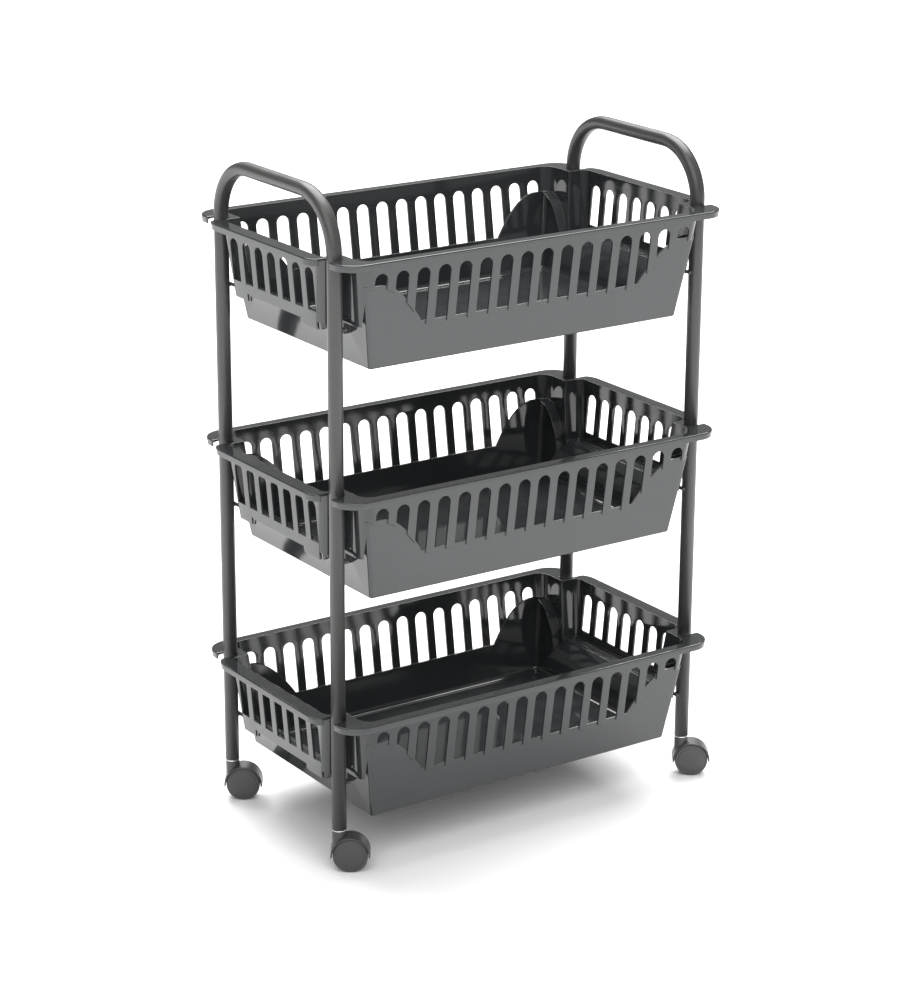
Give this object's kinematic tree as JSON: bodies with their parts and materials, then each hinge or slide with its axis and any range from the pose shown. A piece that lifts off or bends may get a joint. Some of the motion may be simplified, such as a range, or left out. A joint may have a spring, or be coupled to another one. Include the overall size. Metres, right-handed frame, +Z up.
{
  "type": "rolling utility cart",
  "caption": "Free-standing rolling storage cart: two bent tube end frames with arched handles carry slotted moulded baskets, on twin-wheel swivel casters.",
  "frame": {"origin": "on the floor, midway between the four posts", "axes": "+Z up, X along the long side from one end frame to the other, Y from front to back"},
  "size_m": [0.4827, 0.284, 0.685],
  "materials": {
    "frame_paint": "satin dark grey powder coat on steel tube",
    "wire_paint": "satin dark grey powder coat on steel wire",
    "basket_plastic": "glossy charcoal moulded plastic",
    "socket_plastic": "plain moulded plastic",
    "caster_plastic": "satin moulded plastic",
    "wheel_plastic": "satin moulded plastic",
    "zinc": "bright zinc plate"
  },
  "bodies": {
    "cart": {"left_frame_tube": "frame_paint", "left_bottom_wire": "wire_paint", "left_middle_wire": "wire_paint", "left_top_wire": "wire_paint", "right_frame_tube": "frame_paint", "right_bottom_wire": "wire_paint", "right_middle_wire": "wire_paint", "right_top_wire": "wire_paint", "bottom_basket": "basket_plastic", "middle_basket": "basket_plastic", "top_basket": "basket_plastic", "front_left_socket": "socket_plastic", "front_left_stem": "zinc", "back_left_socket": "socket_plastic", "back_left_stem": "zinc", "front_right_socket": "socket_plastic", "front_right_stem": "zinc", "back_right_socket": "socket_plastic", "back_right_stem": "zinc"},
    "front_left_swivel": {"front_left_housing": "caster_plastic", "front_left_axle": "zinc"},
    "front_left_outer_wheel": {"front_left_wheel_outer": "wheel_plastic"},
    "front_left_inner_wheel": {"front_left_wheel_inner": "wheel_plastic"},
    "back_left_swivel": {"back_left_housing": "caster_plastic", "back_left_axle": "zinc"},
    "back_left_outer_wheel": {"back_left_wheel_outer": "wheel_plastic"},
    "back_left_inner_wheel": {"back_left_wheel_inner": "wheel_plastic"},
    "front_right_swivel": {"front_right_housing": "caster_plastic", "front_right_axle": "zinc"},
    "front_right_outer_wheel": {"front_right_wheel_outer": "wheel_plastic"},
    "front_right_inner_wheel": {"front_right_wheel_inner": "wheel_plastic"},
    "back_right_swivel": {"back_right_housing": "caster_plastic", "back_right_axle": "zinc"},
    "back_right_outer_wheel": {"back_right_wheel_outer": "wheel_plastic"},
    "back_right_inner_wheel": {"back_right_wheel_inner": "wheel_plastic"}
  },
  "joints": [
    {"name": "front_left_swivel_turn", "type": "hinge", "parent": "cart", "child": "front_left_swivel", "pos_m": [-0.215, -0.105, 0.042], "axis": [0, 0, 1], "continuous": true},
    {"name": "front_left_outer_wheel_roll", "type": "hinge", "parent": "front_left_swivel", "child": "front_left_outer_wheel", "pos_m": [-0.20588, -0.11115, 0.0175], "axis": [0.5592, 0.829, 0], "continuous": true},
    {"name": "front_left_inner_wheel_roll", "type": "hinge", "parent": "front_left_swivel", "child": "front_left_inner_wheel", "pos_m": [-0.20588, -0.11115, 0.0175], "axis": [0.5592, 0.829, 0], "continuous": true},
    {"name": "back_left_swivel_turn", "type": "hinge", "parent": "cart", "child": "back_left_swivel", "pos_m": [-0.215, 0.105, 0.042], "axis": [0, 0, 1], "continuous": true},
    {"name": "back_left_outer_wheel_roll", "type": "hinge", "parent": "back_left_swivel", "child": "back_left_outer_wheel", "pos_m": [-0.20588, 0.09885, 0.0175], "axis": [0.5592, 0.829, 0], "continuous": true},
    {"name": "back_left_inner_wheel_roll", "type": "hinge", "parent": "back_left_swivel", "child": "back_left_inner_wheel", "pos_m": [-0.20588, 0.09885, 0.0175], "axis": [0.5592, 0.829, 0], "continuous": true},
    {"name": "front_right_swivel_turn", "type": "hinge", "parent": "cart", "child": "front_right_swivel", "pos_m": [0.215, -0.105, 0.042], "axis": [0, 0, 1], "continuous": true},
    {"name": "front_right_outer_wheel_roll", "type": "hinge", "parent": "front_right_swivel", "child": "front_right_outer_wheel", "pos_m": [0.22412, -0.11115, 0.0175], "axis": [0.5592, 0.829, 0], "continuous": true},
    {"name": "front_right_inner_wheel_roll", "type": "hinge", "parent": "front_right_swivel", "child": "front_right_inner_wheel", "pos_m": [0.22412, -0.11115, 0.0175], "axis": [0.5592, 0.829, 0], "continuous": true},
    {"name": "back_right_swivel_turn", "type": "hinge", "parent": "cart", "child": "back_right_swivel", "pos_m": [0.215, 0.105, 0.042], "axis": [0, 0, 1], "continuous": true},
    {"name": "back_right_outer_wheel_roll", "type": "hinge", "parent": "back_right_swivel", "child": "back_right_outer_wheel", "pos_m": [0.22412, 0.09885, 0.0175], "axis": [0.5592, 0.829, 0], "continuous": true},
    {"name": "back_right_inner_wheel_roll", "type": "hinge", "parent": "back_right_swivel", "child": "back_right_inner_wheel", "pos_m": [0.22412, 0.09885, 0.0175], "axis": [0.5592, 0.829, 0], "continuous": true}
  ]
}
